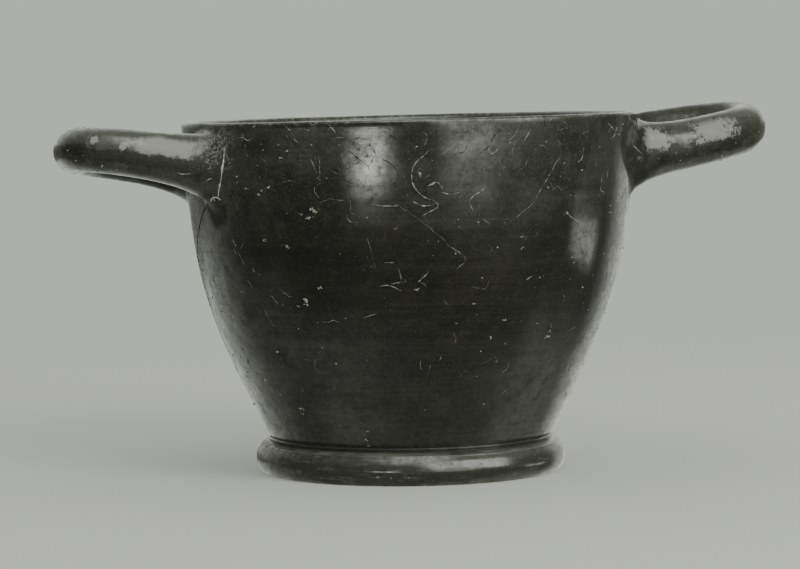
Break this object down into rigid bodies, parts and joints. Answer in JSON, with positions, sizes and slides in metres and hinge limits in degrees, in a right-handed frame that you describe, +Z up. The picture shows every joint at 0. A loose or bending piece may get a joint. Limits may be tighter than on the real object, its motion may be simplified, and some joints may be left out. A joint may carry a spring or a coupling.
{
  "type": "kotyle",
  "caption": "Deep black-glazed drinking cup with a flaring wall, a rounded ring foot and a horizontal loop handle on each side, old and root-marked, with a plastered mend and a hairline crack.",
  "frame": {"origin": "centre of the footprint, bowl and both handles, on the plane that the foot rests on; the turning axis of the bowl is 2.6 mm towards -X of it, because the handles reach out by unlike amounts", "axes": "+Z up the turning axis from foot to mouth, +X towards the handle that reaches out further, so the handles lie along X; the side with the mend and the crack faces -Y"},
  "size_m": [0.1992, 0.124, 0.099],
  "materials": {
    "black_gloss": "gloss"
  },
  "bodies": {
    "root": {"kotyle": "black_gloss"}
  },
  "joints": []
}
